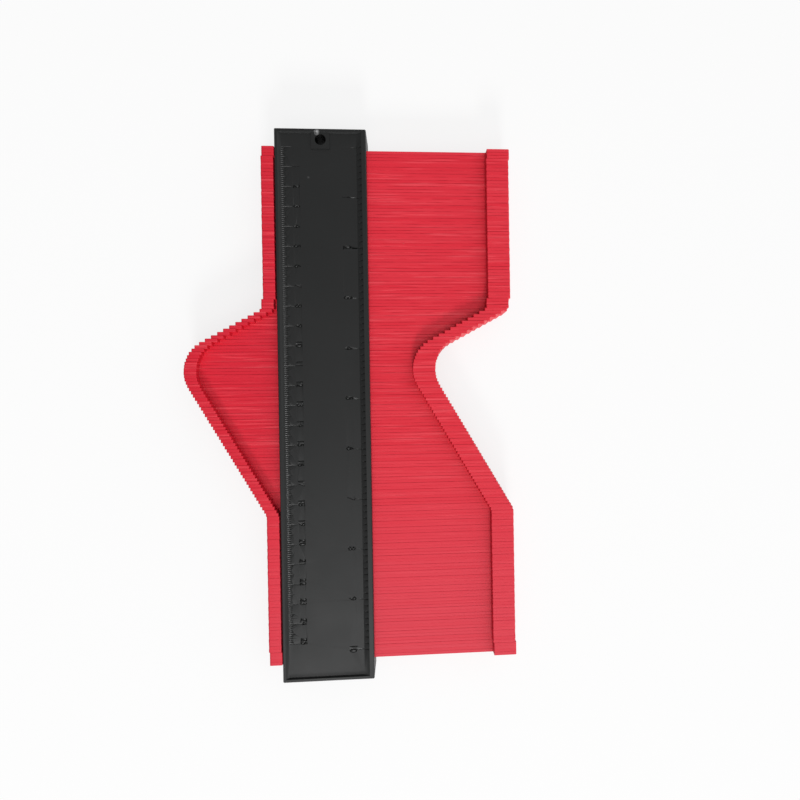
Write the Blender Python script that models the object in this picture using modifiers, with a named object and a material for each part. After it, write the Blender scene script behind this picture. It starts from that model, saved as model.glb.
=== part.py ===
"""Contour gauge: a black two-part housing that grips a row of thin red leaves.

Each leaf is a flat strip with a taller head at either end. The leaves lie side by side along Y and
slide along X through a slot between the front cover and the back cover, until a head meets the
housing's side. Pushed against a moulding, they keep its profile. Here the leaves hold the profile
of a rounded nosing, which stands out on the left and leaves its hollow on the right.

The ruler's zero end is at +Y, the leaves' long ends reach towards +X, and the ruler face looks up.
The origin is the middle of the back cover's flat face, on which the gauge rests.
"""

import math

import bmesh
import bpy
from mathutils import Matrix

MM = 0.001

# The row of leaves
LEAF_COUNT = 160
LEAVES_PER_PACK = 4
LEAF_PITCH = 1.625 * MM
PACK_GAP = 0.1 * MM
LEAF_BITE = 0.02 * MM

# One leaf, seen from its broad side
STRIP_HEIGHT = 10.0 * MM
LEFT_HEAD_LENGTH = 6.25 * MM
RIGHT_HEAD_LENGTH = 11.6 * MM
HEAD_CORNER = 1.0 * MM
HEAD_SETBACK = 0.2 * MM
LEAF_TRAVEL = 61.1 * MM
STOP_CLEARANCE = 0.3 * MM

# The housing's outside
HOUSING_WIDTH = 45.5 * MM
HOUSING_THICKNESS = 20.0 * MM
END_BLOCK_LENGTH = 8.7 * MM
OUTER_BEVEL = 0.4 * MM
PARTING_GAP = 0.3 * MM

# Clearances round the row of leaves
STACK_CLEARANCE = 0.2 * MM
STRIP_CLEARANCE = 0.3 * MM

# The recessed ruler face
RECESS_DEPTH = 1.2 * MM
LEFT_RIM_WIDTH = 1.4 * MM
RIGHT_RIM_WIDTH = 2.3 * MM
END_RIM_WIDTH = 1.5 * MM
LEFT_BORDER_WIDTH = 1.7 * MM
RIGHT_BORDER_WIDTH = 2.7 * MM
END_BORDER_WIDTH = 0.5 * MM

# The covers' inner side: skin, side walls and the two ribs that guide the strips
SKIN_THICKNESS = 2.0 * MM
SIDE_WALL_THICKNESS = 2.0 * MM
RIB_THICKNESS = 2.0 * MM
RIB_OFFSET = 8.0 * MM
POCKET_END_MARGIN = 3.0 * MM

# The hanging hole and the raised pad round it, which runs into the end rim
HANGING_HOLE_DIAMETER = 5.4 * MM
HANGING_HOLE_FROM_END = 5.3 * MM
HOLE_PAD_WIDTH = 9.2 * MM
HOLE_PAD_DROP = 0.5 * MM

# The four self-tapping screws, put in from the back
SCREW_SHAFT_DIAMETER = 2.5 * MM
SCREW_LENGTH = 13.0 * MM
SCREW_HEAD_DIAMETER = 5.2 * MM
SCREW_HEAD_HEIGHT = 1.9 * MM
SCREW_HEAD_SINK = 0.5 * MM
SCREW_HEAD_EDGE = 0.6 * MM
SCREW_TIP_LENGTH = 1.5 * MM
SCREW_FROM_SIDE = 7.75 * MM
SCREW_CLEARANCE = 0.2 * MM
SCREW_SEAT_GAP = 0.05 * MM
CROSS_RECESS_WIDTH = 0.7 * MM
CROSS_RECESS_SPAN = 3.0 * MM
CROSS_RECESS_DEPTH = 1.0 * MM

# The pegs that line the two covers up
PEG_DIAMETER = 2.2 * MM
PEG_HEIGHT = 2.5 * MM
PEG_FROM_SCREW = 7.0 * MM
PEG_CLEARANCE = 0.2 * MM

# The profile that the leaves hold: two straight flanks joined by a round nose
UPPER_FLANK_FOOT_Y = 48.9 * MM
UPPER_FLANK_SLOPE = 1.84
LOWER_FLANK_FOOT_Y = -55.0 * MM
LOWER_FLANK_SLOPE = 0.575
NOSE_RADIUS = 16.7 * MM
FLAT_SETBACK = 0.4 * MM
LEDGE_LEAVES = 3
LEDGE_DEPTH = 0.9 * MM
SEATED_LEAVES_AT_TOP = 3
SEATED_LEAVES_AT_BOTTOM = 4
UNEVENNESS = 0.12 * MM
UNEVENNESS_STEP = 0.618

ROUND_SIDES = 24
SCREW_SIDES = 16
CUT_MARGIN = 1.0 * MM
MERGE_DISTANCE = 0.00001
COPLANAR_ANGLE = math.radians(0.1)

# Sizes that follow from the ones above
STACK_LENGTH = LEAF_COUNT * LEAF_PITCH
CHANNEL_HALF_LENGTH = STACK_LENGTH / 2 + STACK_CLEARANCE
HOUSING_LENGTH = 2 * (CHANNEL_HALF_LENGTH + END_BLOCK_LENGTH)
LEAF_SPAN = HOUSING_WIDTH + 2 * STOP_CLEARANCE + LEAF_TRAVEL
PACK_THICKNESS = LEAVES_PER_PACK * LEAF_PITCH - PACK_GAP
LEAF_THICKNESS = (PACK_THICKNESS + (LEAVES_PER_PACK - 1) * LEAF_BITE) / LEAVES_PER_PACK
LEAF_SPACING_IN_PACK = LEAF_THICKNESS - LEAF_BITE
MID_HEIGHT = HOUSING_THICKNESS / 2
STRIP_BOTTOM = MID_HEIGHT - STRIP_HEIGHT / 2
STRIP_TOP = MID_HEIGHT + STRIP_HEIGHT / 2
RULER_PANEL_HEIGHT = HOUSING_THICKNESS - RECESS_DEPTH
HANGING_HOLE_Y = HOUSING_LENGTH / 2 - HANGING_HOLE_FROM_END
SCREW_X = HOUSING_WIDTH / 2 - SCREW_FROM_SIDE
SCREW_Y = HOUSING_LENGTH / 2 - END_BLOCK_LENGTH / 2
PEG_X = SCREW_X - PEG_FROM_SCREW


def clear_scene():
    for obj in list(bpy.data.objects):
        bpy.data.objects.remove(obj)


def new_collection(name):
    collection = bpy.data.collections.new(name)
    bpy.context.scene.collection.children.link(collection)
    return collection


def move_to(obj, collection):
    for other in list(obj.users_collection):
        other.objects.unlink(obj)
    collection.objects.link(obj)


def new_material(name, colour, roughness, metallic=0.0):
    material = bpy.data.materials.new(name)
    material.use_nodes = True
    shader = material.node_tree.nodes["Principled BSDF"]
    shader.inputs["Base Color"].default_value = (*colour, 1.0)
    shader.inputs["Roughness"].default_value = roughness
    shader.inputs["Metallic"].default_value = metallic
    return material


def add_box(name, low, high, collection):
    """A box between two corners, with its size in its mesh and not in its scale."""
    centre = [(a + b) / 2 for a, b in zip(low, high)]
    size = [b - a for a, b in zip(low, high)]
    bpy.ops.mesh.primitive_cube_add(size=1.0, location=centre)
    obj = bpy.context.object
    obj.name = name
    obj.data.transform(Matrix.Diagonal((*size, 1.0)))
    move_to(obj, collection)
    return obj


def add_cylinder(name, diameter, low_z, high_z, x, y, collection):
    bpy.ops.mesh.primitive_cylinder_add(
        vertices=ROUND_SIDES,
        radius=diameter / 2,
        depth=high_z - low_z,
        location=(x, y, (low_z + high_z) / 2),
    )
    obj = bpy.context.object
    obj.name = name
    move_to(obj, collection)
    return obj


def as_helper(obj):
    obj.hide_render = True
    obj.display_type = "WIRE"
    return obj


def combine(target, tool, operation, solver="EXACT"):
    modifier = target.modifiers.new(tool.name, "BOOLEAN")
    modifier.operation = operation
    modifier.solver = solver
    modifier.object = as_helper(tool)


def merge_flat_faces(obj):
    """Turn the small coplanar faces that a union leaves into single faces."""
    modifier = obj.modifiers.new("merge_flat_faces", "DECIMATE")
    modifier.decimate_type = "DISSOLVE"
    modifier.angle_limit = COPLANAR_ANGLE


def mesh_from_object(obj, name):
    """The evaluated mesh of an object, with the loose caps of a curve welded on."""
    evaluated = obj.evaluated_get(bpy.context.evaluated_depsgraph_get())
    mesh = bpy.data.meshes.new_from_object(evaluated)
    mesh.name = name
    work = bmesh.new()
    work.from_mesh(mesh)
    bmesh.ops.remove_doubles(work, verts=work.verts, dist=MERGE_DISTANCE)
    bmesh.ops.recalc_face_normals(work, faces=work.faces)
    work.to_mesh(mesh)
    work.free()
    return mesh


def leaf_outline():
    """The leaf's broad side as (x, z) points, anticlockwise, with x = 0 at the left head's stop face."""
    left = -LEFT_HEAD_LENGTH
    right = LEAF_SPAN + RIGHT_HEAD_LENGTH
    low = HEAD_SETBACK
    high = HOUSING_THICKNESS - HEAD_SETBACK
    return [
        (left + HEAD_CORNER, low),
        (0.0, low),
        (0.0, STRIP_BOTTOM),
        (LEAF_SPAN, STRIP_BOTTOM),
        (LEAF_SPAN, low),
        (right - HEAD_CORNER, low),
        (right, low + HEAD_CORNER),
        (right, high - HEAD_CORNER),
        (right - HEAD_CORNER, high),
        (LEAF_SPAN, high),
        (LEAF_SPAN, STRIP_TOP),
        (0.0, STRIP_TOP),
        (0.0, high),
        (left + HEAD_CORNER, high),
        (left, high - HEAD_CORNER),
        (left, low + HEAD_CORNER),
    ]


def leaf_mesh():
    """One leaf, standing on edge: a flat outline extruded to the leaf's thickness."""
    curve = bpy.data.curves.new("leaf_outline", "CURVE")
    curve.dimensions = "2D"
    curve.fill_mode = "BOTH"
    curve.extrude = LEAF_THICKNESS / 2
    points = leaf_outline()
    spline = curve.splines.new("POLY")
    spline.points.add(len(points) - 1)
    for point, (x, z) in zip(spline.points, points):
        point.co = (x, z, 0.0, 1.0)
    spline.use_cyclic_u = True
    flat = bpy.data.objects.new("leaf_outline", curve)
    bpy.context.scene.collection.objects.link(flat)
    mesh = mesh_from_object(flat, "leaf")
    bpy.data.objects.remove(flat)
    mesh.transform(Matrix.Rotation(math.radians(90), 4, "X"))
    return mesh


def profile_depth(y):
    """How far the profile stands out to the left at station y: two flanks and the arc between them."""
    upper_rise = math.hypot(1.0, UPPER_FLANK_SLOPE)
    lower_rise = math.hypot(1.0, LOWER_FLANK_SLOPE)
    slopes = UPPER_FLANK_SLOPE + LOWER_FLANK_SLOPE
    feet = UPPER_FLANK_SLOPE * UPPER_FLANK_FOOT_Y + LOWER_FLANK_SLOPE * LOWER_FLANK_FOOT_Y
    nose_y = (feet - NOSE_RADIUS * (upper_rise - lower_rise)) / slopes
    nose_depth = UPPER_FLANK_SLOPE * (UPPER_FLANK_FOOT_Y - nose_y) - NOSE_RADIUS * upper_rise
    upper_tangent = nose_y + NOSE_RADIUS * UPPER_FLANK_SLOPE / upper_rise
    lower_tangent = nose_y - NOSE_RADIUS * LOWER_FLANK_SLOPE / lower_rise
    if y >= UPPER_FLANK_FOOT_Y or y <= LOWER_FLANK_FOOT_Y:
        return 0.0
    if y >= upper_tangent:
        return UPPER_FLANK_SLOPE * (UPPER_FLANK_FOOT_Y - y)
    if y <= lower_tangent:
        return LOWER_FLANK_SLOPE * (y - LOWER_FLANK_FOOT_Y)
    return nose_depth + math.sqrt(NOSE_RADIUS**2 - (y - nose_y) ** 2)


def leaf_station(index):
    """The middle of a leaf along Y, counted from the ruler's zero end."""
    pack, place = divmod(index, LEAVES_PER_PACK)
    pack_middle = STACK_LENGTH / 2 - (pack + 0.5) * LEAVES_PER_PACK * LEAF_PITCH
    return pack_middle + ((LEAVES_PER_PACK - 1) / 2 - place) * LEAF_SPACING_IN_PACK


def leaf_setback(index):
    """How far a leaf is drawn to the left of its stop, held within its travel."""
    if index < SEATED_LEAVES_AT_TOP or index >= LEAF_COUNT - SEATED_LEAVES_AT_BOTTOM:
        return 0.0
    y = leaf_station(index)
    uneven = UNEVENNESS * ((index * UNEVENNESS_STEP) % 1.0 - 0.5)
    ledge_end = UPPER_FLANK_FOOT_Y + LEDGE_LEAVES * LEAF_PITCH
    ledge = LEDGE_DEPTH if UPPER_FLANK_FOOT_Y < y < ledge_end else 0.0
    setback = FLAT_SETBACK + uneven + max(ledge, profile_depth(y))
    return min(LEAF_TRAVEL, max(0.0, setback))


def place_leaf(name, index, mesh, collection):
    leaf = bpy.data.objects.new(name, mesh)
    left_stop = -HOUSING_WIDTH / 2 - STOP_CLEARANCE
    leaf.location = (left_stop - leaf_setback(index), leaf_station(index), 0.0)
    collection.objects.link(leaf)
    return leaf


def add_leaf_packs(material, parts, helpers):
    """Neighbouring leaves fused face to face, each at its own place in the profile."""
    mesh = leaf_mesh()
    mesh.materials.append(material)
    for first in range(0, LEAF_COUNT, LEAVES_PER_PACK):
        name = f"leaf_pack_{first // LEAVES_PER_PACK + 1:02d}"
        body = place_leaf(name, first, mesh, parts)
        for index in range(first + 1, min(first + LEAVES_PER_PACK, LEAF_COUNT)):
            leaf = place_leaf(f"{name}_leaf_{index - first + 1}", index, mesh, helpers)
            combine(body, leaf, "UNION", solver="MANIFOLD")
        merge_flat_faces(body)


def add_recess_cutter(helpers):
    """The tool for the sunken ruler panel: a block whose lower face is smaller, for sloping borders."""
    half_width = HOUSING_WIDTH / 2
    half_length = HOUSING_LENGTH / 2
    left = -half_width + LEFT_RIM_WIDTH
    right = half_width - RIGHT_RIM_WIDTH
    end = half_length - END_RIM_WIDTH
    cutter = add_box(
        "ruler_recess",
        (left, -end, RULER_PANEL_HEIGHT),
        (right, end, HOUSING_THICKNESS),
        helpers,
    )
    for vertex in cutter.data.vertices:
        if vertex.co.z < 0:
            vertex.co.x += LEFT_BORDER_WIDTH if vertex.co.x < 0 else -RIGHT_BORDER_WIDTH
            vertex.co.y += END_BORDER_WIDTH if vertex.co.y < 0 else -END_BORDER_WIDTH
    lid = add_box(
        "ruler_recess_lid",
        (left, -end, HOUSING_THICKNESS - MERGE_DISTANCE),
        (right, end, HOUSING_THICKNESS + CUT_MARGIN),
        helpers,
    )
    combine(cutter, lid, "UNION")
    return cutter


def cover_blank(name, low_z, high_z, parts):
    """The block that a cover is cut from, with its outer edges broken."""
    cover = add_box(
        name,
        (-HOUSING_WIDTH / 2, -HOUSING_LENGTH / 2, low_z),
        (HOUSING_WIDTH / 2, HOUSING_LENGTH / 2, high_z),
        parts,
    )
    bevel = cover.modifiers.new("outer_bevel", "BEVEL")
    bevel.width = OUTER_BEVEL
    bevel.segments = 1
    return cover


def cut_leaf_channel(cover, low_z, high_z, helpers):
    """The wide slot across the housing in which the strips lie."""
    channel = add_box(
        f"{cover.name}_channel",
        (-HOUSING_WIDTH / 2 - CUT_MARGIN, -CHANNEL_HALF_LENGTH, low_z),
        (HOUSING_WIDTH / 2 + CUT_MARGIN, CHANNEL_HALF_LENGTH, high_z),
        helpers,
    )
    combine(cover, channel, "DIFFERENCE")


def cut_pockets(cover, low_z, high_z, helpers):
    """Three long pockets that leave the side walls and two guide ribs along the cover."""
    wall = HOUSING_WIDTH / 2 - SIDE_WALL_THICKNESS
    rib_inner = RIB_OFFSET - RIB_THICKNESS / 2
    rib_outer = RIB_OFFSET + RIB_THICKNESS / 2
    end = STACK_LENGTH / 2 - POCKET_END_MARGIN
    for number, (low_x, high_x) in enumerate(
        ((-wall, -rib_outer), (-rib_inner, rib_inner), (rib_outer, wall))
    ):
        pocket = add_box(
            f"{cover.name}_pocket_{number}", (low_x, -end, low_z), (high_x, end, high_z), helpers
        )
        combine(cover, pocket, "DIFFERENCE")


def drill(cover, name, diameter, low_z, high_z, x, y, helpers):
    tool = add_cylinder(f"{cover.name}_{name}", diameter, low_z, high_z, x, y, helpers)
    combine(cover, tool, "DIFFERENCE")


def screw_places():
    return [(x, y) for y in (SCREW_Y, -SCREW_Y) for x in (-SCREW_X, SCREW_X)]


def peg_places():
    return [(x, y) for y in (SCREW_Y, -SCREW_Y) for x in (-PEG_X, PEG_X)]


def add_front_cover(material, parts, helpers):
    """The ruler side: a sunken panel in a raised rim, a hanging hole in a pad, blind screw holes."""
    base = MID_HEIGHT + PARTING_GAP / 2
    cover = cover_blank("front_cover", base, HOUSING_THICKNESS, parts)
    cover.data.materials.append(material)
    channel_top = STRIP_TOP + STRIP_CLEARANCE
    cut_leaf_channel(cover, base - CUT_MARGIN, channel_top, helpers)
    pocket_top = RULER_PANEL_HEIGHT - SKIN_THICKNESS
    cut_pockets(cover, channel_top - MERGE_DISTANCE, pocket_top, helpers)
    combine(cover, add_recess_cutter(helpers), "DIFFERENCE")
    pad = add_box(
        "hanging_hole_pad",
        (
            -HOLE_PAD_WIDTH / 2,
            HANGING_HOLE_Y - HOLE_PAD_WIDTH / 2,
            RULER_PANEL_HEIGHT - MERGE_DISTANCE,
        ),
        (
            HOLE_PAD_WIDTH / 2,
            (HOUSING_LENGTH - END_RIM_WIDTH) / 2,
            HOUSING_THICKNESS - HOLE_PAD_DROP,
        ),
        helpers,
    )
    combine(cover, pad, "UNION")
    above = HOUSING_THICKNESS + CUT_MARGIN
    below = base - CUT_MARGIN
    drill(cover, "hole", HANGING_HOLE_DIAMETER, below, above, 0.0, HANGING_HOLE_Y, helpers)
    pilot = SCREW_SHAFT_DIAMETER + 2 * SCREW_CLEARANCE
    pilot_top = SCREW_HEAD_SINK + SCREW_HEAD_HEIGHT + SCREW_LENGTH + SCREW_CLEARANCE
    for number, (x, y) in enumerate(screw_places()):
        drill(cover, f"pilot_{number}", pilot, below, pilot_top, x, y, helpers)
    socket = PEG_DIAMETER + 2 * PEG_CLEARANCE
    socket_top = base + PEG_HEIGHT
    for number, (x, y) in enumerate(peg_places()):
        drill(cover, f"socket_{number}", socket, below, socket_top, x, y, helpers)
    merge_flat_faces(cover)


def add_back_cover(material, parts, helpers):
    """The plain side: a flat face to rest on, screw holes with sunk seats and four pegs."""
    top = MID_HEIGHT - PARTING_GAP / 2
    cover = cover_blank("back_cover", 0.0, top, parts)
    cover.data.materials.append(material)
    channel_bottom = STRIP_BOTTOM - STRIP_CLEARANCE
    cut_leaf_channel(cover, channel_bottom, top + CUT_MARGIN, helpers)
    cut_pockets(cover, SKIN_THICKNESS, channel_bottom + MERGE_DISTANCE, helpers)
    above = top + CUT_MARGIN
    drill(cover, "hole", HANGING_HOLE_DIAMETER, -CUT_MARGIN, above, 0.0, HANGING_HOLE_Y, helpers)
    shaft_hole = SCREW_SHAFT_DIAMETER + 2 * SCREW_CLEARANCE
    seat = SCREW_HEAD_DIAMETER + 2 * SCREW_CLEARANCE
    seat_height = SCREW_HEAD_SINK + SCREW_HEAD_HEIGHT + SCREW_SEAT_GAP
    for number, (x, y) in enumerate(screw_places()):
        drill(cover, f"shaft_hole_{number}", shaft_hole, -CUT_MARGIN, above, x, y, helpers)
        drill(cover, f"seat_{number}", seat, -CUT_MARGIN, seat_height, x, y, helpers)
    for number, (x, y) in enumerate(peg_places()):
        peg = add_cylinder(
            f"peg_{number}", PEG_DIAMETER, top - CUT_MARGIN, top + PEG_HEIGHT, x, y, helpers
        )
        combine(cover, peg, "UNION")
    merge_flat_faces(cover)


def screw_mesh(helpers):
    """A turned pan-head screw, head down, with a cross recess in the head."""
    head_top = SCREW_HEAD_SINK + SCREW_HEAD_HEIGHT
    tip = head_top + SCREW_LENGTH
    shaft = SCREW_SHAFT_DIAMETER / 2
    head = SCREW_HEAD_DIAMETER / 2
    profile = [
        (0.0, tip),
        (shaft, tip - SCREW_TIP_LENGTH),
        (shaft, head_top),
        (head, head_top),
        (head, SCREW_HEAD_SINK + SCREW_HEAD_EDGE),
        (head - SCREW_HEAD_EDGE, SCREW_HEAD_SINK),
        (0.0, SCREW_HEAD_SINK),
    ]
    mesh = bpy.data.meshes.new("screw_profile")
    points = [(radius, 0.0, z) for radius, z in profile]
    mesh.from_pydata(points, [(i, i + 1) for i in range(len(points) - 1)], [])
    turned = bpy.data.objects.new("screw_profile", mesh)
    helpers.objects.link(turned)
    turning = turned.modifiers.new("turning", "SCREW")
    turning.steps = SCREW_SIDES
    turning.render_steps = SCREW_SIDES
    turning.use_merge_vertices = True
    turning.merge_threshold = MERGE_DISTANCE
    half_span = CROSS_RECESS_SPAN / 2
    half_width = CROSS_RECESS_WIDTH / 2
    for name, half_x, half_y in (("a", half_span, half_width), ("b", half_width, half_span)):
        slot = add_box(
            f"cross_recess_{name}",
            (-half_x, -half_y, SCREW_HEAD_SINK - CUT_MARGIN),
            (half_x, half_y, SCREW_HEAD_SINK + CROSS_RECESS_DEPTH),
            helpers,
        )
        combine(turned, slot, "DIFFERENCE")
    result = mesh_from_object(turned, "housing_screw")
    bpy.data.objects.remove(turned)
    return result


def add_screws(material, parts, helpers):
    mesh = screw_mesh(helpers)
    mesh.materials.append(material)
    for number, (x, y) in enumerate(screw_places()):
        screw = bpy.data.objects.new(f"housing_screw_{number + 1}", mesh)
        screw.location = (x, y, 0.0)
        parts.objects.link(screw)


def build():
    clear_scene()
    parts = new_collection("contour_gauge")
    helpers = new_collection("cutters")
    black = new_material("housing_black", (0.035, 0.037, 0.037), 0.5)
    red = new_material("leaf_red", (0.70, 0.038, 0.058), 0.4)
    steel = new_material("screw_steel", (0.55, 0.55, 0.56), 0.35, metallic=1.0)
    add_front_cover(black, parts, helpers)
    add_back_cover(black, parts, helpers)
    add_screws(steel, parts, helpers)
    add_leaf_packs(red, parts, helpers)


build()
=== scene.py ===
"""Looks of a plastic contour gauge: a black ruler-faced housing that grips 160 thin red leaves.

Lengths are written in millimetres and turned into metres by MM. The ruler's zero end is at +Y and its
face looks up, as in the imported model.
"""

import math

import bmesh
import bpy
from mathutils import Matrix, Vector


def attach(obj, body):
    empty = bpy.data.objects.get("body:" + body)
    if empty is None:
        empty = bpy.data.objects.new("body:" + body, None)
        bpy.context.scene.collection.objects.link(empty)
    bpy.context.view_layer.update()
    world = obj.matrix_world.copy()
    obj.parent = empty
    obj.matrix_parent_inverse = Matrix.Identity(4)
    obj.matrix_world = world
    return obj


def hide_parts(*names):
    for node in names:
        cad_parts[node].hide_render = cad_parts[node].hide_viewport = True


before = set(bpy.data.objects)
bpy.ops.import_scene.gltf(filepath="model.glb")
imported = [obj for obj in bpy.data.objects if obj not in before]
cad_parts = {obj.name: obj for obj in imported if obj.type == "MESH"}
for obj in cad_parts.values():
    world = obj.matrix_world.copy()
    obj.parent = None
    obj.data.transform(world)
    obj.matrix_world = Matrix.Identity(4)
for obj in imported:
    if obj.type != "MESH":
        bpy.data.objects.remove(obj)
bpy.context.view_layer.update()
MM = 0.001


# ---------------------------------------------------------------------------
# Back cover: the plain half that the gauge rests on, moulded in black ABS with a
# fine spark-eroded grain. Its four screw seats and the two guide ribs are moulded
# in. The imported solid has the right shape, so it only gets rounded edges here.

COVER_EDGE_RADIUS = 0.15 * MM
SHARP_ANGLE = math.radians(40)
FLAT_ANGLE = math.radians(0.2)

HOUSING_BLACK = (0.0100, 0.0106, 0.0106)
HOUSING_WORN_BLACK = (0.0165, 0.0170, 0.0170)
HOUSING_SHEEN = 0.44
HOUSING_ROUGHNESS = 0.46
SHINE_PATCH_SIZE = 25.0 * MM
SHINIER_BY, DULLER_BY = 0.04, 0.05
# Painted shade: the bore of the hanging hole is coloured darker and given almost no sheen.
PAINTED_BORE_SHADE = (0.0040, 0.0040, 0.0040)
PAINTED_BORE_SHADE_SHEEN = 0.02
BORE_PLACE = (0.0, 133.6 * MM, 9.6 * MM)
BORE_REACH = (2.85 * MM, 2.85 * MM, 32.0 * MM)
# A pale grey spot on the rim beside the hanging hole, broken up by blotches.
PALE_SPOT_GREY = (0.300, 0.300, 0.300)
PALE_SPOT_PLACE = (-1.7 * MM, 136.9 * MM, 20.0 * MM)
PALE_SPOT_REACH = (1.25 * MM, 1.35 * MM, 0.6 * MM)
BLOTCH_SIZE = 0.9 * MM
BLOTCH_RANGE = (0.34, 0.48)
GATE_GREY = (0.040, 0.040, 0.040)
GATE_PLACE = (-6.3 * MM, 114.8 * MM, 18.8 * MM)
GATE_REACH = (0.50 * MM, 0.50 * MM, 0.5 * MM)
GRAIN_SIZE = 0.22 * MM
GRAIN_HEIGHT = 0.012 * MM
GRAIN_STRENGTH = 0.6
SCUFF_LENGTH = 9.0 * MM
SCUFF_WIDTH = 0.35 * MM
SCUFF_RANGE = (0.62, 0.78)
SCUFF_SHARE = 0.6


def add_node(tree, kind, **sockets):
    """A shader node with its unlinked sockets set; a socket given as another node's output is linked."""
    node = tree.nodes.new(kind)
    for name, value in sockets.items():
        socket = node.inputs[name.replace("_", " ")]
        if isinstance(value, bpy.types.NodeSocket):
            tree.links.new(value, socket)
        else:
            socket.default_value = value
    return node


def surface(name, base_colour, roughness, sheen=0.5):
    """A material with one Principled shader, and the object coordinates of its piece."""
    material = bpy.data.materials.new(name)
    material.use_nodes = True
    tree = material.node_tree
    shader = tree.nodes["Principled BSDF"]
    shader.inputs["Base Color"].default_value = (*base_colour, 1.0)
    shader.inputs["Roughness"].default_value = roughness
    shader.inputs["Specular IOR Level"].default_value = sheen
    place = tree.nodes.new("ShaderNodeTexCoord").outputs["Object"]
    return material, tree, shader, place


def stretched(tree, place, lengths):
    """Coordinates in which a noise feature is as long as the given lengths along X, Y and Z."""
    mapping = tree.nodes.new("ShaderNodeMapping")
    tree.links.new(place, mapping.inputs["Vector"])
    mapping.inputs["Scale"].default_value = [1 / length for length in lengths]
    return mapping.outputs["Vector"]


def noise(tree, place, lengths, detail=2.0):
    node = add_node(tree, "ShaderNodeTexNoise", Vector=stretched(tree, place, lengths), Scale=1.0)
    node.inputs["Detail"].default_value = detail
    return node.outputs["Fac"]


def ramp(tree, factor, low, high, at_low, at_high):
    """A number that runs from at_low to at_high while factor goes from low to high, and stays there."""
    node = tree.nodes.new("ShaderNodeMapRange")
    tree.links.new(factor, node.inputs["Value"])
    for name, value in zip(("From Min", "From Max", "To Min", "To Max"), (low, high, at_low, at_high)):
        node.inputs[name].default_value = value
    return node.outputs["Result"]


def mixed_colour(tree, factor, colour_a, colour_b):
    node = tree.nodes.new("ShaderNodeMix")
    node.data_type = "RGBA"
    tree.links.new(factor, node.inputs["Factor"])
    for socket, colour in ((node.inputs["A"], colour_a), (node.inputs["B"], colour_b)):
        if isinstance(colour, bpy.types.NodeSocket):
            tree.links.new(colour, socket)
        else:
            socket.default_value = (*colour, 1.0)
    return node.outputs["Result"]


def rough_skin(tree, shader, place, grain_size, grain_height, strength):
    """The fine grain of a spark-eroded mould, as a bump."""
    grain = noise(tree, place, (grain_size,) * 3, detail=1.0)
    bump = add_node(tree, "ShaderNodeBump", Height=grain, Strength=strength, Distance=grain_height)
    tree.links.new(bump.outputs["Normal"], shader.inputs["Normal"])


def within(tree, place, centre, size, edge):
    """1 inside an upright ellipsoid of the given half sizes, 0 outside, with a soft edge."""
    offset = add_node(tree, "ShaderNodeVectorMath", Vector=place)
    offset.operation = "SUBTRACT"
    offset.inputs[1].default_value = centre
    shrunk = add_node(tree, "ShaderNodeVectorMath", Vector=offset.outputs["Vector"])
    shrunk.operation = "DIVIDE"
    shrunk.inputs[1].default_value = size
    reach = add_node(tree, "ShaderNodeVectorMath", Vector=shrunk.outputs["Vector"])
    reach.operation = "LENGTH"
    return ramp(tree, reach.outputs["Value"], 1.0 - edge, 1.0 + edge, 1.0, 0.0)


def arithmetic(tree, operation, factor_a, factor_b=None):
    """The result of a sum on one or two outputs, or on an output and a number."""
    node = tree.nodes.new("ShaderNodeMath")
    node.operation = operation
    tree.links.new(factor_a, node.inputs[0])
    if isinstance(factor_b, bpy.types.NodeSocket):
        tree.links.new(factor_b, node.inputs[1])
    elif factor_b is not None:
        node.inputs[1].default_value = factor_b
    return node.outputs["Value"]


def product(tree, factor_a, factor_b):
    return arithmetic(tree, "MULTIPLY", factor_a, factor_b)


def housing_plastic(name):
    """Black ABS with a fine grain, scuffs, painted shade in the bore, a pale grey spot beside it and a
    gate mark.
    """
    material, tree, shader, place = surface(
        name, HOUSING_BLACK, HOUSING_ROUGHNESS, HOUSING_SHEEN
    )
    scuffs = noise(tree, place, (SCUFF_LENGTH, SCUFF_WIDTH, SCUFF_LENGTH), detail=3.0)
    worn = ramp(tree, scuffs, *SCUFF_RANGE, 0.0, SCUFF_SHARE)
    colour = mixed_colour(tree, worn, HOUSING_BLACK, HOUSING_WORN_BLACK)
    # Painted shade inside the hanging hole's bore: a darker colour and almost no sheen.
    painted_bore_shade = within(tree, place, BORE_PLACE, BORE_REACH, 0.02)
    colour = mixed_colour(tree, painted_bore_shade, colour, PAINTED_BORE_SHADE)
    blotches = noise(tree, place, (BLOTCH_SIZE,) * 3, detail=3.0)
    # A pale grey spot on the rim beside the hanging hole.
    pale_spot = product(
        tree,
        within(tree, place, PALE_SPOT_PLACE, PALE_SPOT_REACH, 0.35),
        ramp(tree, blotches, *BLOTCH_RANGE, 0.0, 1.0),
    )
    colour = mixed_colour(tree, pale_spot, colour, PALE_SPOT_GREY)
    gate = within(tree, place, GATE_PLACE, GATE_REACH, 0.4)
    colour = mixed_colour(tree, gate, colour, GATE_GREY)
    tree.links.new(colour, shader.inputs["Base Color"])
    sheen = ramp(tree, painted_bore_shade, 0.0, 1.0, HOUSING_SHEEN, PAINTED_BORE_SHADE_SHEEN)
    tree.links.new(sheen, shader.inputs["Specular IOR Level"])
    patches = noise(tree, place, (SHINE_PATCH_SIZE,) * 3)
    shine = ramp(
        tree, patches, 0.3, 0.7, HOUSING_ROUGHNESS - SHINIER_BY, HOUSING_ROUGHNESS + DULLER_BY
    )
    tree.links.new(shine, shader.inputs["Roughness"])
    rough_skin(tree, shader, place, GRAIN_SIZE, GRAIN_HEIGHT, GRAIN_STRENGTH)
    return material


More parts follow.
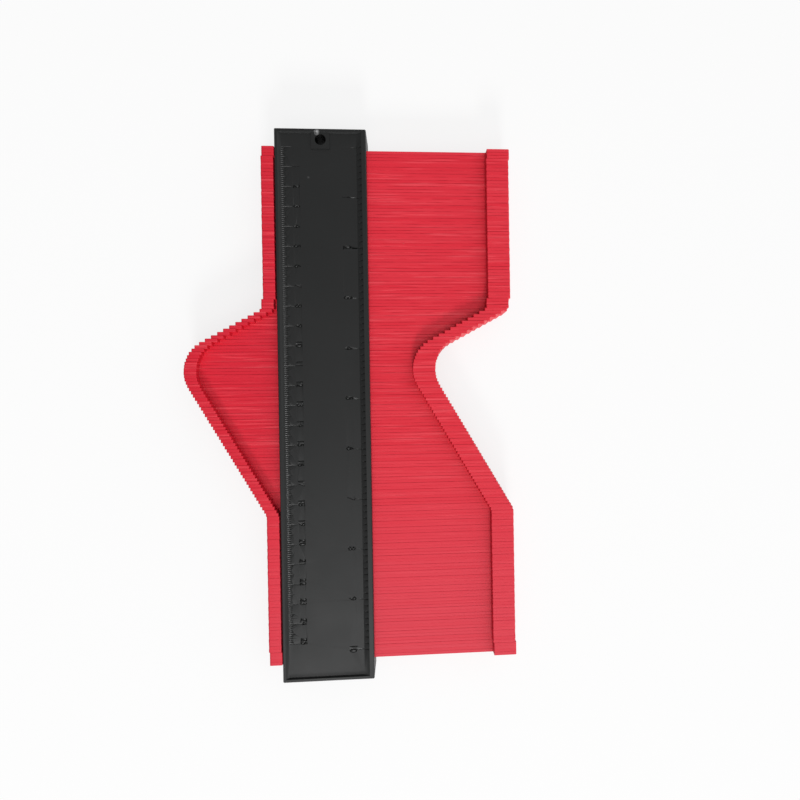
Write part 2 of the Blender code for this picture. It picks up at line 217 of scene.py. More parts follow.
def even_shading(piece, sharp_angle):
    """Smooth rounded edges beside flat faces that still look flat; engraving shades flat."""
    for face in piece.data.polygons:
        face.use_smooth = face.material_index == 0
    piece.data.set_sharp_from_angle(angle=sharp_angle)
    weighting = piece.modifiers.new("even_shading", "WEIGHTED_NORMAL")
    weighting.keep_sharp = True
    piece.data = finished_mesh(piece, piece.name)
    piece.modifiers.clear()


def finished_mesh(obj, name):
    """The object's mesh with its modifiers applied, under a new name."""
    evaluated = obj.evaluated_get(bpy.context.evaluated_depsgraph_get())
    mesh = bpy.data.meshes.new_from_object(evaluated)
    mesh.name = name
    return mesh


def rounded_copy(node_name, piece_name, material):
    """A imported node's shape as a new piece, its flat faces merged and its edges rounded."""
    work = bmesh.new()
    work.from_mesh(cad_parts[node_name].data)
    bmesh.ops.remove_doubles(work, verts=work.verts, dist=0.001 * MM)
    bmesh.ops.dissolve_limit(
        work, angle_limit=FLAT_ANGLE, verts=work.verts, edges=work.edges
    )
    mesh = bpy.data.meshes.new(piece_name)
    work.to_mesh(mesh)
    work.free()
    piece = bpy.data.objects.new(piece_name, mesh)
    bpy.context.scene.collection.objects.link(piece)
    rounding = piece.modifiers.new("rounding", "BEVEL")
    rounding.width = COVER_EDGE_RADIUS
    rounding.segments = 2
    rounding.limit_method = "ANGLE"
    rounding.angle_limit = SHARP_ANGLE
    piece.data = finished_mesh(piece, piece_name)
    piece.modifiers.clear()
    piece.data.materials.clear()
    piece.data.materials.append(material)
    return piece


back = rounded_copy("back_cover", "back_cover_moulding", housing_plastic("back_cover_abs"))
even_shading(back, SHARP_ANGLE)
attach(back, "housing")
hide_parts("back_cover")


# ---------------------------------------------------------------------------
# Leaves: 160 flat strips of red ABS, 1.6 mm thick, with a taller head at either
# end. They lie side by side between the covers and are held by friction alone.
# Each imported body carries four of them; here every leaf is a shell of its own.

LEAF_COUNT = 160
LEAVES_PER_PACK = 4
LEAF_PITCH = 1.625 * MM
STRIP_HEIGHT = 10.0 * MM
LEFT_HEAD_LENGTH = 6.25 * MM
RIGHT_HEAD_LENGTH = 11.6 * MM
HEAD_CORNER_RADIUS = 0.9 * MM
STOP_CORNER_RADIUS = 0.3 * MM
NECK_RADIUS = 0.4 * MM
HEAD_SETBACK = 0.2 * MM
LEAF_TRAVEL = 61.1 * MM
STOP_CLEARANCE = 0.3 * MM
HOUSING_WIDTH = 45.5 * MM
HOUSING_THICKNESS = 20.0 * MM

UPPER_FLANK_FOOT_Y = 48.9 * MM
UPPER_FLANK_SLOPE = 1.84
LOWER_FLANK_FOOT_Y = -55.0 * MM
LOWER_FLANK_SLOPE = 0.575
NOSE_RADIUS = 16.7 * MM
FLAT_SETBACK = 0.399 * MM
LEDGE_LEAVES = 3
LEDGE_DEPTH = 0.9 * MM
SEATED_LEAVES_AT_TOP = 3
SEATED_LEAVES_AT_BOTTOM = 4
UNEVENNESS = 0.12 * MM
UNEVENNESS_STEP = 0.618

LEAF_EDGE_RADII = (0.05 * MM, 0.08 * MM, 0.13 * MM)
EDGE_RADIUS_STEP = 0.7548
LEAF_GAP = 0.002 * MM
LEAF_LIFT = 0.10 * MM
LIFT_STEP = 0.5698
LAST_LEAF_FLATTER_BY = 0.6
ARC_STEPS = 3
LEAF_SHARP_ANGLE = math.radians(60)

LEAF_RED = (0.685, 0.0200, 0.0400)
# Painted light: towards the far end the leaves turn paler, a painted haze of reflection over a little
# painted shade.
LEAF_PAINTED_HAZE_RED = (0.635, 0.0250, 0.0490)
PAINTED_HAZE_SPAN_Y = (-110.0 * MM, -20.0 * MM)
# Painted shade: the left ends of the leaves, above the lower flank, are a deeper red.
LEAF_LEFT_PAINTED_SHADE_RED = (0.615, 0.0115, 0.0310)
PAINTED_SHADE_SPAN_X = (-15.0 * MM, 15.0 * MM)
PAINTED_SHADE_SPAN_Y = (-75.0 * MM, -40.0 * MM)
LEAF_DEEP_RED = (0.600, 0.0145, 0.0300)
OWN_SHADE_SHARE = 0.45
CONTRAST_SPAN_Y = (-70.0 * MM, 0.0)
FAR_CONTRAST = 0.35
# Pale streaks along the leaves: partly moulding flow lines, partly painted highlights on leaf edges.
LEAF_PALE_HIGHLIGHT_RED = (0.750, 0.0440, 0.0660)
FLOW_AND_HIGHLIGHT_SIZES = (28.0 * MM, 0.8 * MM, 6.0 * MM)
FLOW_AND_HIGHLIGHT_RANGE = (0.55, 0.68)
FLOW_AND_HIGHLIGHT_SHARE = 0.8
# Painted shade in the seams between leaves, which also get less sheen.
SEAM_SHADE_RED = (0.270, 0.0060, 0.0120)
SEAM_HALF_WIDTH = 0.11
SEAM_DEPTH_SIZES = (10.0 * MM, 1.1 * MM, 9.0 * MM)
SEAM_DEPTH_RANGE = (0.42, 0.60)
SEAM_SPAN_Y = (-90.0 * MM, 40.0 * MM)
FAR_SEAM_SHARE = 0.10
BROAD_SIDE_RANGE = (0.80, 0.98)
BROAD_SIDE_SEAM_SHARE = 0.08
LEAF_SHEEN, DEEP_LEAF_SHEEN = 0.34, 0.20
PALE_SHEEN_GAIN = 1.6
SEAM_SHEEN_SHARE = 0.1
LEAF_ROUGHNESSES = (0.45, 0.56)
SKIN_SIZE = 0.35 * MM
SKIN_HEIGHT = 0.010 * MM
SKIN_STRENGTH = 0.5


def profile_depth(y):
    """How far the held profile stands out to the left at station y: two flanks and an arc."""
    upper_rise = math.hypot(1.0, UPPER_FLANK_SLOPE)
    lower_rise = math.hypot(1.0, LOWER_FLANK_SLOPE)
    slopes = UPPER_FLANK_SLOPE + LOWER_FLANK_SLOPE
    feet = UPPER_FLANK_SLOPE * UPPER_FLANK_FOOT_Y + LOWER_FLANK_SLOPE * LOWER_FLANK_FOOT_Y
    nose_y = (feet - NOSE_RADIUS * (upper_rise - lower_rise)) / slopes
    nose_depth = UPPER_FLANK_SLOPE * (UPPER_FLANK_FOOT_Y - nose_y) - NOSE_RADIUS * upper_rise
    if y >= UPPER_FLANK_FOOT_Y or y <= LOWER_FLANK_FOOT_Y:
        return 0.0
    if y >= nose_y + NOSE_RADIUS * UPPER_FLANK_SLOPE / upper_rise:
        return UPPER_FLANK_SLOPE * (UPPER_FLANK_FOOT_Y - y)
    if y <= nose_y - NOSE_RADIUS * LOWER_FLANK_SLOPE / lower_rise:
        return LOWER_FLANK_SLOPE * (y - LOWER_FLANK_FOOT_Y)
    return nose_depth + math.sqrt(NOSE_RADIUS**2 - (y - nose_y) ** 2)


def leaf_station(index):
    """The middle of a leaf along Y, counted from the ruler's zero end."""
    return (LEAF_COUNT / 2 - index - 0.5) * LEAF_PITCH


def leaf_setback(index):
    """How far a leaf is drawn to the left of its stop."""
    if index < SEATED_LEAVES_AT_TOP or index >= LEAF_COUNT - SEATED_LEAVES_AT_BOTTOM:
        return 0.0
    y = leaf_station(index)
    uneven = UNEVENNESS * ((index * UNEVENNESS_STEP) % 1.0 - 0.5)
    on_ledge = UPPER_FLANK_FOOT_Y < y < UPPER_FLANK_FOOT_Y + LEDGE_LEAVES * LEAF_PITCH
    depth = max(LEDGE_DEPTH if on_ledge else 0.0, profile_depth(y))
    return min(LEAF_TRAVEL, max(0.0, FLAT_SETBACK + uneven + depth))


def leaf_lift(index):
    """How far a leaf sits above or below the middle; the far leaves lie flatter."""
    past_middle = min(1.0, max(0.0, 2 * index / LEAF_COUNT - 1.0))
    flatter = 1.0 - LAST_LEAF_FLATTER_BY * past_middle
    return LEAF_LIFT * flatter * (2 * ((index * LIFT_STEP) % 1.0) - 1)


def rounded_corner(before, corner, after, radius):
    """The points of an arc that replaces a right-angled corner."""
    into = (before - corner).normalized() * radius
    out = (after - corner).normalized() * radius
    centre = corner + into + out
    turns = [math.pi / 2 * step / ARC_STEPS for step in range(ARC_STEPS + 1)]
    return [centre - out * math.cos(turn) - into * math.sin(turn) for turn in turns]


def leaf_outline():
    """The leaf's broad side as (x, z) points, anticlockwise, with x = 0 at the left head's stop face."""
    span = HOUSING_WIDTH + 2 * STOP_CLEARANCE + LEAF_TRAVEL
    left, right = -LEFT_HEAD_LENGTH, span + RIGHT_HEAD_LENGTH
    low, high = HEAD_SETBACK, HOUSING_THICKNESS - HEAD_SETBACK
    strip_low = (HOUSING_THICKNESS - STRIP_HEIGHT) / 2
    strip_high = strip_low + STRIP_HEIGHT
    outer, stop, neck = HEAD_CORNER_RADIUS, STOP_CORNER_RADIUS, NECK_RADIUS
    corners = [
        (left, low, outer), (0.0, low, stop), (0.0, strip_low, neck),
        (span, strip_low, neck), (span, low, stop), (right, low, outer),
        (right, high, outer), (span, high, stop), (span, strip_high, neck),
        (0.0, strip_high, neck), (0.0, high, stop), (left, high, outer),
    ]
    points = []
    for i, (x, z, radius) in enumerate(corners):
        before, after = corners[i - 1], corners[(i + 1) % len(corners)]
        points += rounded_corner(
            Vector(before[:2]), Vector((x, z)), Vector(after[:2]), radius
        )
    return points


def inset_loop(points, depth):
    """The outline moved inwards by depth, corner by corner."""
    moved = []
    for i, point in enumerate(points):
        along_in = (point - points[i - 1]).normalized()
        along_out = (points[(i + 1) % len(points)] - point).normalized()
        inward_in, inward_out = Vector((-along_in.y, along_in.x)), Vector((-along_out.y, along_out.x))
        moved.append(point + (inward_in + inward_out) * depth / (1 + inward_in.dot(inward_out)))
    return moved


def add_leaf(work, outline, radius, x, y, z):
    """One closed leaf shell: an outline swept across the thickness, with its rims rounded."""
    half = (LEAF_PITCH - LEAF_GAP) / 2
    shallow = radius * (1 - math.sqrt(0.5))
    loops = [outline, inset_loop(outline, shallow), inset_loop(outline, radius)]
    stations = [
        (loops[2], -half), (loops[1], -half + shallow), (loops[0], -half + radius),
        (loops[0], half - radius), (loops[1], half - shallow), (loops[2], half),
    ]
    rings = [
        [work.verts.new((x + px, y + across, z + pz)) for px, pz in loop]
        for loop, across in stations
    ]
    for ring, following in zip(rings, rings[1:]):
        for i in range(len(ring)):
            j = (i + 1) % len(ring)
            work.faces.new((ring[i], following[i], following[j], ring[j]))
    per_corner = ARC_STEPS + 1
    for ring in (rings[0], rings[-1]):
        work.faces.new(ring[10 * per_corner - 1:] + ring[:2 * per_corner + 1])
        work.faces.new(ring[2 * per_corner:4 * per_corner] + ring[8 * per_corner:10 * per_corner])
        work.faces.new(ring[4 * per_corner - 1:8 * per_corner + 1])


def leaf_plastic():
    """Red ABS: each leaf a shade of its own, faint pale streaks along it, and a satin skin.

    The streaks are partly flow lines and partly painted highlights, and the seams between leaves carry
    painted shade. The far leaves are a little paler, with a painted haze of reflection over painted
    shade, and more alike; the left ends carry painted shade and look deeper.
    """
    material, tree, shader, place = surface("leaf_abs", LEAF_RED, 0.50)
    spot = add_node(tree, "ShaderNodeSeparateXYZ", Vector=place)
    spot_x, spot_y = spot.outputs["X"], spot.outputs["Y"]
    in_pitches = stretched(tree, place, (1.0, LEAF_PITCH, 1.0))
    whole = add_node(tree, "ShaderNodeVectorMath", Vector=in_pitches)
    whole.operation = "FLOOR"
    leaf_number = add_node(tree, "ShaderNodeSeparateXYZ", Vector=whole.outputs["Vector"])
    own_shade = tree.nodes.new("ShaderNodeTexWhiteNoise")
    own_shade.noise_dimensions = "1D"
    tree.links.new(leaf_number.outputs["Y"], own_shade.inputs["W"])

    # Painted haze of reflection and painted shade towards the far end.
    painted_haze = ramp(tree, spot_y, *PAINTED_HAZE_SPAN_Y, 1.0, 0.0)
    coloured = mixed_colour(tree, painted_haze, LEAF_RED, LEAF_PAINTED_HAZE_RED)
    # Painted shade on the leaves' left ends.
    painted_left_shade = product(
        tree,
        ramp(tree, spot_x, *PAINTED_SHADE_SPAN_X, 1.0, 0.0),
        ramp(tree, spot_y, *PAINTED_SHADE_SPAN_Y, 0.0, 1.0),
    )
    coloured = mixed_colour(tree, painted_left_shade, coloured, LEAF_LEFT_PAINTED_SHADE_RED)
    contrast = ramp(tree, spot_y, *CONTRAST_SPAN_Y, FAR_CONTRAST, 1.0)
    deep = ramp(tree, own_shade.outputs["Value"], 0.0, 1.0, 0.0, OWN_SHADE_SHARE)
    shade = product(tree, deep, contrast)
    coloured = mixed_colour(tree, shade, coloured, LEAF_DEEP_RED)
    # Pale streaks, partly flow lines and partly painted highlights.
    flow_and_highlight = noise(tree, place, FLOW_AND_HIGHLIGHT_SIZES, detail=3.0)
    pale_flow_and_highlight = product(tree, ramp(tree, flow_and_highlight, *FLOW_AND_HIGHLIGHT_RANGE, 0.0, FLOW_AND_HIGHLIGHT_SHARE), contrast)
    coloured = mixed_colour(tree, pale_flow_and_highlight, coloured, LEAF_PALE_HIGHLIGHT_RED)

    across = add_node(tree, "ShaderNodeSeparateXYZ", Vector=in_pitches).outputs["Y"]
    from_seam = arithmetic(tree, "PINGPONG", across, 0.5)
    seam = ramp(tree, from_seam, 0.0, SEAM_HALF_WIDTH, 1.0, 0.0)
    facing = tree.nodes.new("ShaderNodeTexCoord").outputs["Normal"]
    facing_y = add_node(tree, "ShaderNodeSeparateXYZ", Vector=facing).outputs["Y"]
    sideways = arithmetic(tree, "ABSOLUTE", facing_y)
    off_broad_side = ramp(tree, sideways, *BROAD_SIDE_RANGE, 1.0, BROAD_SIDE_SEAM_SHARE)
    depth = noise(tree, place, SEAM_DEPTH_SIZES, detail=3.0)
    # Painted shade along the seams between leaves, darker in colour and sheen.
    painted_seam_shade = product(
        tree,
        product(
            tree,
            product(tree, seam, off_broad_side),
            ramp(tree, depth, *SEAM_DEPTH_RANGE, 0.0, 1.0),
        ),
        ramp(tree, spot_y, *SEAM_SPAN_Y, FAR_SEAM_SHARE, 1.0),
    )
    coloured = mixed_colour(tree, painted_seam_shade, coloured, SEAM_SHADE_RED)
    tree.links.new(coloured, shader.inputs["Base Color"])

    own_sheen = ramp(tree, shade, 0.0, OWN_SHADE_SHARE, LEAF_SHEEN, DEEP_LEAF_SHEEN)
    pale_sheen = ramp(tree, pale_flow_and_highlight, 0.0, FLOW_AND_HIGHLIGHT_SHARE, 1.0, PALE_SHEEN_GAIN)
    seam_sheen = ramp(tree, painted_seam_shade, 0.0, 1.0, 1.0, SEAM_SHEEN_SHARE)
    sheen = product(tree, product(tree, own_sheen, pale_sheen), seam_sheen)
    tree.links.new(sheen, shader.inputs["Specular IOR Level"])
    shine = ramp(tree, flow_and_highlight, 0.3, 0.7, *LEAF_ROUGHNESSES)
    tree.links.new(shine, shader.inputs["Roughness"])
    rough_skin(tree, shader, place, SKIN_SIZE, SKIN_HEIGHT, SKIN_STRENGTH)
    return material


outline = leaf_outline()
leaf_abs = leaf_plastic()
left_stop = -HOUSING_WIDTH / 2 - STOP_CLEARANCE
for pack in range(LEAF_COUNT // LEAVES_PER_PACK):
    work = bmesh.new()
    for index in range(pack * LEAVES_PER_PACK, (pack + 1) * LEAVES_PER_PACK):
        radius = LEAF_EDGE_RADII[int(len(LEAF_EDGE_RADII) * ((index * EDGE_RADIUS_STEP) % 1.0))]
        left_end = left_stop - leaf_setback(index)
        add_leaf(work, outline, radius, left_end, leaf_station(index), leaf_lift(index))
    bmesh.ops.recalc_face_normals(work, faces=work.faces)
    mesh = bpy.data.meshes.new(f"leaves_{pack + 1:02d}")
    work.to_mesh(mesh)
    work.free()
    mesh.materials.append(leaf_abs)
    leaves = bpy.data.objects.new(mesh.name, mesh)
    bpy.context.scene.collection.objects.link(leaves)
    even_shading(leaves, LEAF_SHARP_ANGLE)
    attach(leaves, f"leaf_pack_{pack + 1:02d}")
    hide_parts(f"leaf_pack_{pack + 1:02d}")


# ---------------------------------------------------------------------------
# Front cover: the ruler half, moulded in the same black ABS. Its sunken panel has
# centimetre marks on the left and inch marks on the right, both engraved, with
# their zeros at the end that has the hanging hole. The numbers read downwards.

RULER_PANEL_HEIGHT = 18.8 * MM
RIGHT_SLOPE_FOOT_X = 17.75 * MM
RIGHT_SLOPE_TOP_X = 20.45 * MM
SCALE_ZERO_Y = 130.0 * MM
MARK_WIDTH = 0.46 * MM
FINE_MARK_WIDTH = 0.38 * MM
MARK_FLOOR_SHARE = 0.25
MARK_DEPTH = 0.26 * MM
NUMBER_DEPTH = 0.28 * MM
EIGHTH_MARK_WIDTH = 0.55 * MM
CENTIMETRES = 25
INCHES = 10
INCH = 25.4 * MM
MARKS_PER_INCH = 8
LEFT_SLOPE_FOOT_X = -19.65 * MM
LEFT_SLOPE_TOP_X = -21.35 * MM
CM_MARK_START_X = -20.1 * MM
MM_MARK_END_X = -17.9 * MM
HALF_CM_MARK_END_X = -16.8 * MM
CM_MARK_END_X = -14.5 * MM
CM_NUMBER_FOOT_X = -14.0 * MM
CM_NUMBER_HEIGHT = 3.4 * MM
INCH_MARK_START_X = 14.9 * MM
INCH_NUMBER_FOOT_X = 10.4 * MM
INCH_NUMBER_HEIGHT = 3.9 * MM
INCH_MARK_END_X = 17.70 * MM
INCH_MARK_SLOPE_START_X = 17.80 * MM
EIGHTH_MARK_START_X = 18.3 * MM
EIGHTH_MARK_END_X = 20.3 * MM
CM_NUMBER_END = 0.75 * MM
INCH_NUMBER_SHIFT = 0.5 * MM
NUMBER_WIDTH_SHARE = 0.86
NUMBER_SPACING = 0.88
FONT_DIGIT_HEIGHT = 0.70
CUT_HEADROOM = 1.0 * MM
GROOVE_HEADROOM = 0.3 * MM

MARK_SLOT, NUMBER_SLOT = 1, 2
MARK_BLACK = (0.0120, 0.0124, 0.0124)
MARK_ROUGHNESS, MARK_SHEEN = 0.38, 0.70
NUMBER_BLACK = (0.0040, 0.0040, 0.0040)
NUMBER_ROUGHNESS, NUMBER_SHEEN = 0.45, 0.34


def groove_cutter(work, stations, y, width):
    """A groove through (x, surface height) stations, with side walls that slope to a narrow floor."""
    half = width / 2
    floor_half = half * MARK_FLOOR_SHARE
    top_half = half + (half - floor_half) * GROOVE_HEADROOM / MARK_DEPTH
    rings = [
        [
            work.verts.new((x, y + across, height + rise))
            for across, rise in (
                (-floor_half, -MARK_DEPTH), (floor_half, -MARK_DEPTH),
                (top_half, GROOVE_HEADROOM), (-top_half, GROOVE_HEADROOM),
            )
        ]
        for x, height in stations
    ]
    for first, last in zip(rings, rings[1:]):
        for i in range(4):
            j = (i + 1) % 4
            work.faces.new((first[i], first[j], last[j], last[i]))
    work.faces.new(reversed(rings[0]))
    work.faces.new(rings[-1])


def number_cutter(work, text, foot_x, y, height, anchor):
    """A number lying on the panel, its digits' tops to the right, reading towards -Y."""
    lettering = bpy.data.curves.new("number", "FONT")
    lettering.body = text
    lettering.align_x = anchor
    lettering.size = height / FONT_DIGIT_HEIGHT
    lettering.space_character = NUMBER_SPACING
    lettering.extrude = (NUMBER_DEPTH + CUT_HEADROOM) / 2
    lettering.resolution_u = 3
    obj = bpy.data.objects.new("number", lettering)
    bpy.context.scene.collection.objects.link(obj)
    mesh = finished_mesh(obj, "number")
    bpy.data.objects.remove(obj)
    level = RULER_PANEL_HEIGHT + (CUT_HEADROOM - NUMBER_DEPTH) / 2
    mesh.transform(
        Matrix.Translation((foot_x, y, level))
        @ Matrix.Rotation(math.radians(-90), 4, "Z")
        @ Matrix.Diagonal((NUMBER_WIDTH_SHARE, 1.0, 1.0, 1.0))
    )
    work.from_mesh(mesh)
    bpy.data.meshes.remove(mesh)


def slope_point(x):
    """A point (x, height) on the panel or up one of its sloping borders."""
    up_right = (x - RIGHT_SLOPE_FOOT_X) / (RIGHT_SLOPE_TOP_X - RIGHT_SLOPE_FOOT_X)
    up_left = (x - LEFT_SLOPE_FOOT_X) / (LEFT_SLOPE_TOP_X - LEFT_SLOPE_FOOT_X)
    recess_depth = HOUSING_THICKNESS - RULER_PANEL_HEIGHT
    return x, RULER_PANEL_HEIGHT + recess_depth * max(0.0, up_left, up_right)


def scale_cutter():
    """All marks and numbers of the two scales, as one tool."""
    work = bmesh.new()
    for millimetre in range(10 * CENTIMETRES + 1):
        y = SCALE_ZERO_Y - millimetre * MM
        end_x, width = MM_MARK_END_X, FINE_MARK_WIDTH
        if millimetre % 5 == 0:
            end_x = HALF_CM_MARK_END_X
        if millimetre % 10 == 0:
            end_x, width = CM_MARK_END_X, MARK_WIDTH
        stations = [slope_point(x) for x in (CM_MARK_START_X, LEFT_SLOPE_FOOT_X, end_x)]
        groove_cutter(work, stations, y, width)
    for inch in range(INCHES + 1):
        y = SCALE_ZERO_Y - inch * INCH
        ends = [slope_point(x) for x in (INCH_MARK_START_X, INCH_MARK_END_X)]
        groove_cutter(work, ends, y, MARK_WIDTH)
    for face in work.faces:
        face.material_index = MARK_SLOT
    for eighth in range(MARKS_PER_INCH * INCHES + 1):
        y = SCALE_ZERO_Y - eighth * INCH / MARKS_PER_INCH
        whole = eighth % MARKS_PER_INCH == 0
        start_x = INCH_MARK_SLOPE_START_X if whole else EIGHTH_MARK_START_X
        ends = [slope_point(x) for x in (start_x, EIGHTH_MARK_END_X)]
        groove_cutter(work, ends, y, EIGHTH_MARK_WIDTH)
    for centimetre in range(1, CENTIMETRES + 1):
        y = SCALE_ZERO_Y - 10 * centimetre * MM - CM_NUMBER_END
        number_cutter(work, str(centimetre), CM_NUMBER_FOOT_X, y, CM_NUMBER_HEIGHT, "RIGHT")
    for inch in range(1, INCHES + 1):
        y = SCALE_ZERO_Y - inch * INCH + INCH_NUMBER_SHIFT
        number_cutter(work, str(inch), INCH_NUMBER_FOOT_X, y, INCH_NUMBER_HEIGHT, "CENTER")
    for face in work.faces:
        if face.material_index == 0:
            face.material_index = NUMBER_SLOT
    bmesh.ops.remove_doubles(work, verts=work.verts, dist=0.0005 * MM)
    bmesh.ops.recalc_face_normals(work, faces=work.faces)
    mesh = bpy.data.meshes.new("scale_cutter")
    work.to_mesh(mesh)
    work.free()
    return mesh


def cleaned(piece):
    """Drops the slivers a cut leaves and splits its many-sided faces."""
    work = bmesh.new()
    work.from_mesh(piece.data)
    bmesh.ops.dissolve_degenerate(work, edges=work.edges, dist=0.0002 * MM)
    many_sided = [face for face in work.faces if len(face.verts) > 4]
    bmesh.ops.triangulate(work, faces=many_sided)
    work.to_mesh(piece.data)
    work.free()


front = rounded_copy("front_cover", "front_cover_moulding", housing_plastic("front_cover_abs"))
mark_abs, _, _, _ = surface("mark_abs", MARK_BLACK, MARK_ROUGHNESS, MARK_SHEEN)
number_abs, _, _, _ = surface("number_abs", NUMBER_BLACK, NUMBER_ROUGHNESS, NUMBER_SHEEN)
cutter = bpy.data.objects.new("scale_cutter", scale_cutter())
bpy.context.scene.collection.objects.link(cutter)
cutter.data.materials.append(front.data.materials[0])
for material in (mark_abs, number_abs):
    front.data.materials.append(material)
    cutter.data.materials.append(material)
for part in (front, cutter):
    part.modifiers.new("triangles", "TRIANGULATE")
cut = front.modifiers.new("engraving", "BOOLEAN")
cut.operation = "DIFFERENCE"
cut.solver = "MANIFOLD"
cut.object = cutter
front.data = finished_mesh(front, "front_cover_moulding")
front.modifiers.clear()
bpy.data.objects.remove(cutter)
cleaned(front)
even_shading(front, SHARP_ANGLE)
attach(front, "housing")
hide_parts("front_cover")


# ---------------------------------------------------------------------------
# Screws: four self-tapping screws of zinc-plated steel, put in from the back. They
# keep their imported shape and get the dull, slightly streaked look of plating.

SCREW_GREY = (0.50, 0.50, 0.51)
SCREW_DULL_GREY = (0.38, 0.38, 0.40)
STREAK_SIZES = (0.8 * MM, 0.15 * MM, 0.5 * MM)
SCREW_COUNT = 4

plating, tree, shader, place = surface("zinc_plating", SCREW_GREY, 0.32)
shader.inputs["Metallic"].default_value = 1.0
streaks = noise(tree, place, STREAK_SIZES, detail=3.0)
tree.links.new(
    mixed_colour(tree, streaks, SCREW_GREY, SCREW_DULL_GREY), shader.inputs["Base Color"]
)
tree.links.new(ramp(tree, streaks, 0.3, 0.7, 0.26, 0.42), shader.inputs["Roughness"])
for number in range(1, SCREW_COUNT + 1):
    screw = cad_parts[f"housing_screw_{number}"]
    for material_slot in screw.material_slots:
        material_slot.material = plating


# ---------------------------------------------------------------------------
# Studio: a pale floor under the gauge, a low soft lamp beyond the far end of the
# scale, a small one above that end and a white room that is brighter on the right.

FLOOR_SIZE = 4.0
FLOOR_DEPTH = 0.1 * MM
FLOOR_WHITE = (0.80, 0.80, 0.80, 1.0)
FLOOR_GLOW_SHARE = 0.78
KEY_PLACE = Vector((0.23, -4.50, 2.45))
KEY_SIZE = 0.93
KEY_WATTS = 150.0
SHEEN_PLACE = Vector((0.0, -0.60, 1.10))
SHEEN_SIZE = 0.40
SHEEN_WATTS = 2.3
ROOM_LIGHT_LEFT = 0.155
ROOM_LIGHT_RIGHT = 1.250
ROOM_LIGHT_LOW = 0.60
ROOM_LIGHT_HIGH = 1.05


def seen_directly(tree):
    """1 for a ray straight from the camera, off a shiny surface or through a clear one, else 0."""
    rays = tree.nodes.new("ShaderNodeLightPath")
    total = rays.outputs["Is Camera Ray"]
    for name in ("Is Glossy Ray", "Is Transmission Ray"):
        total = arithmetic(tree, "MAXIMUM", total, rays.outputs[name])
    return total


def floor_material():
    """Matt white paper that the camera sees almost fully white, and that keeps the shadow."""
    material = bpy.data.materials.new("pale_floor")
    material.use_nodes = True
    tree = material.node_tree
    tree.nodes.clear()
    paper = add_node(tree, "ShaderNodeBsdfDiffuse", Color=FLOOR_WHITE)
    glow = add_node(tree, "ShaderNodeEmission", Color=(1.0, 1.0, 1.0, 1.0), Strength=1.0)
    mix = tree.nodes.new("ShaderNodeMixShader")
    tree.links.new(product(tree, seen_directly(tree), FLOOR_GLOW_SHARE), mix.inputs[0])
    tree.links.new(paper.outputs[0], mix.inputs[1])
    tree.links.new(glow.outputs[0], mix.inputs[2])
    output = tree.nodes.new("ShaderNodeOutputMaterial")
    tree.links.new(mix.outputs[0], output.inputs["Surface"])
    return material


def softbox(name, place, size, watts):
    light = bpy.data.lights.new(name, "AREA")
    light.shape = "SQUARE"
    light.size = size
    light.energy = watts
    lamp = bpy.data.objects.new(name, light)
    lamp.location = place
    lamp.rotation_euler = (-place).to_track_quat("-Z", "Y").to_euler()
    bpy.context.scene.collection.objects.link(lamp)


floor_mesh = bpy.data.meshes.new("floor")
half_floor = FLOOR_SIZE / 2
floor_mesh.from_pydata(
    [(x, y, 0.0) for x, y in (
        (-half_floor, -half_floor), (half_floor, -half_floor),
        (half_floor, half_floor), (-half_floor, half_floor),
    )],
    [],
    [(0, 1, 2, 3)],
)
floor_mesh.materials.append(floor_material())
floor = bpy.data.objects.new("floor", floor_mesh)
floor.location.z = -FLOOR_DEPTH
bpy.context.scene.collection.objects.link(floor)

softbox("key_lamp", KEY_PLACE, KEY_SIZE, KEY_WATTS)
softbox("sheen_lamp", SHEEN_PLACE, SHEEN_SIZE, SHEEN_WATTS)

world = bpy.data.worlds.new("white_room")
world.use_nodes = True
bpy.context.scene.world = world
tree = world.node_tree
room = tree.nodes["Background"]
room.inputs["Color"].default_value = (1.0, 1.0, 1.0, 1.0)
rays = tree.nodes.new("ShaderNodeLightPath")
direction = tree.nodes.new("ShaderNodeTexCoord").outputs["Generated"]
towards = add_node(tree, "ShaderNodeSeparateXYZ", Vector=direction).outputs

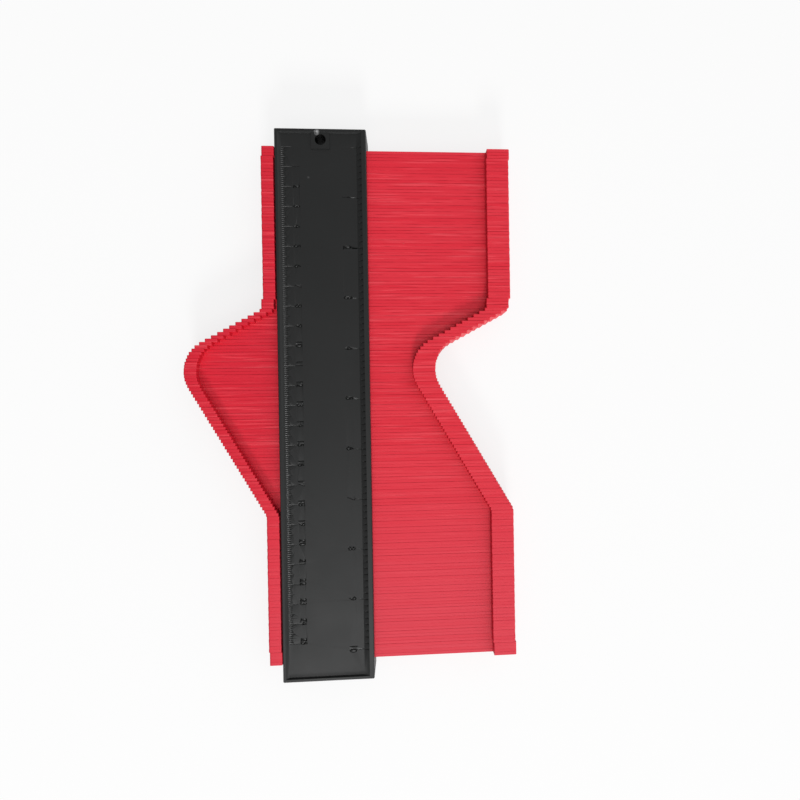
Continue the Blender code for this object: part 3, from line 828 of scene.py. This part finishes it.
# What the glossy black housing mirrors: dimmer on the left and towards both ends.
overhead = product(
    tree,
    ramp(tree, towards["X"], -0.42, -0.05, 0.45, 1.0),
    product(
        tree,
        ramp(tree, towards["Y"], -0.90, -0.15, 1.0, 0.50),
        ramp(tree, towards["Y"], 0.35, 0.9, 0.94, 0.35),
    ),
)
right_window = ramp(tree, towards["X"], 0.2, 0.8, 0.2, 0.85)
in_gloss = arithmetic(tree, "MAXIMUM", overhead, right_window)

# What lights the matt surfaces: brighter from the right and from above.
room_light = product(
    tree,
    ramp(tree, towards["X"], -0.8, 0.6, ROOM_LIGHT_LEFT, ROOM_LIGHT_RIGHT),
    ramp(tree, towards["Z"], 0.0, 0.9, ROOM_LIGHT_LOW, ROOM_LIGHT_HIGH),
)
scattered = tree.nodes.new("ShaderNodeMix")
tree.links.new(rays.outputs["Is Camera Ray"], scattered.inputs["Factor"])
tree.links.new(room_light, scattered.inputs["A"])
scattered.inputs["B"].default_value = 1.0
strength = tree.nodes.new("ShaderNodeMix")
tree.links.new(rays.outputs["Is Glossy Ray"], strength.inputs["Factor"])
tree.links.new(scattered.outputs["Result"], strength.inputs["A"])
tree.links.new(in_gloss, strength.inputs["B"])
tree.links.new(strength.outputs["Result"], room.inputs["Strength"])


# ---------------------------------------------------------------------------
# Camera: above the gauge and a little to the right of its middle, as in the photo.

CAMERA_PLACE = Vector((40.0, 3.47, 325.28)) * MM
CAMERA_LENS = 27.0
CAMERA_SHIFT_X = -0.06
CAMERA_ROLL = 0.01561
CAMERA_TILT = 0.00561
CAMERA_TURN = 0.07279

camera_data = bpy.data.cameras.new("camera")
camera_data.lens = CAMERA_LENS
camera_data.sensor_width = 36.0
camera_data.shift_x = CAMERA_SHIFT_X
camera = bpy.data.objects.new("camera", camera_data)
world_to_camera = (
    Matrix.Rotation(CAMERA_ROLL, 4, "Z")
    @ Matrix.Rotation(CAMERA_TILT, 4, "X")
    @ Matrix.Rotation(CAMERA_TURN, 4, "Y")
)
camera.matrix_world = Matrix.Translation(CAMERA_PLACE) @ world_to_camera.transposed()
bpy.context.scene.collection.objects.link(camera)
bpy.context.scene.camera = camera
bpy.context.scene.view_settings.view_transform = "Standard"
